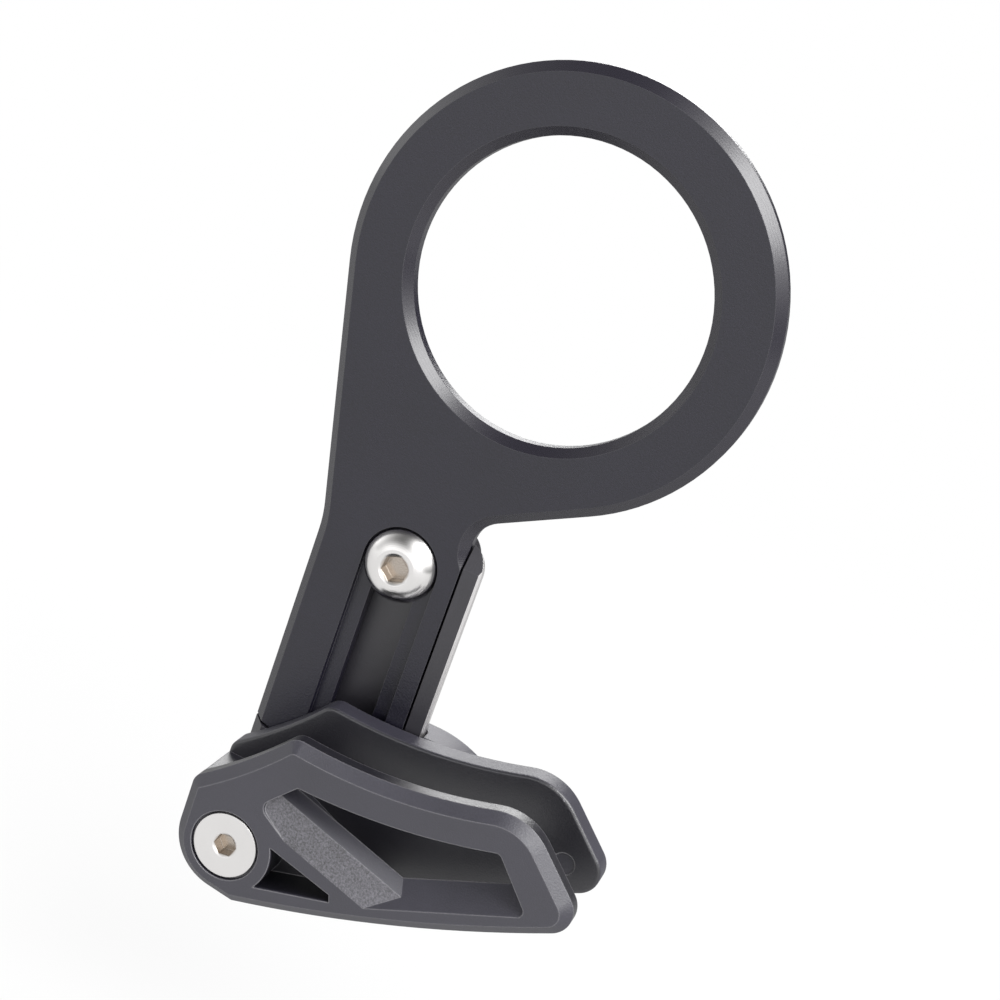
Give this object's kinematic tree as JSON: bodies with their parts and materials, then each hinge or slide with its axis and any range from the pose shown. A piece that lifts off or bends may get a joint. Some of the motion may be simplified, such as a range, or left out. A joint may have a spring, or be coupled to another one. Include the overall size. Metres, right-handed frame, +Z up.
{
  "type": "bicycle chain guide",
  "caption": "Bottom bracket mounted chain guide: a flat ring and slotted arm carry a height-adjustable slider with two moulded plates that keep the chain on its ring.",
  "frame": {"origin": "centre of the bottom bracket bore, on the ring's mounting face", "axes": "+X to the right, +Z up along the arm from the guide to the ring, and the chain side faces -Y"},
  "size_m": [0.055, 0.0231, 0.1057],
  "materials": {
    "anodised_plate": "bead blasted, black anodised, with satin machined chamfers",
    "anodised_slider": "black anodised",
    "filled_nylon": "fine moulded texture, charcoal",
    "stainless_bolt": "polished stainless"
  },
  "bodies": {
    "plate": {"bb_plate": "anodised_plate"},
    "carriage": {"slider": "anodised_slider", "clamp_bolt": "stainless_bolt", "inner_guide": "filled_nylon", "outer_guide": "filled_nylon", "guide_bolt": "stainless_bolt"}
  },
  "joints": [
    {"name": "height_adjust", "type": "slide", "parent": "plate", "child": "carriage", "axis": [0, 0, -1], "range_m": [0, 0.0225]}
  ]
}
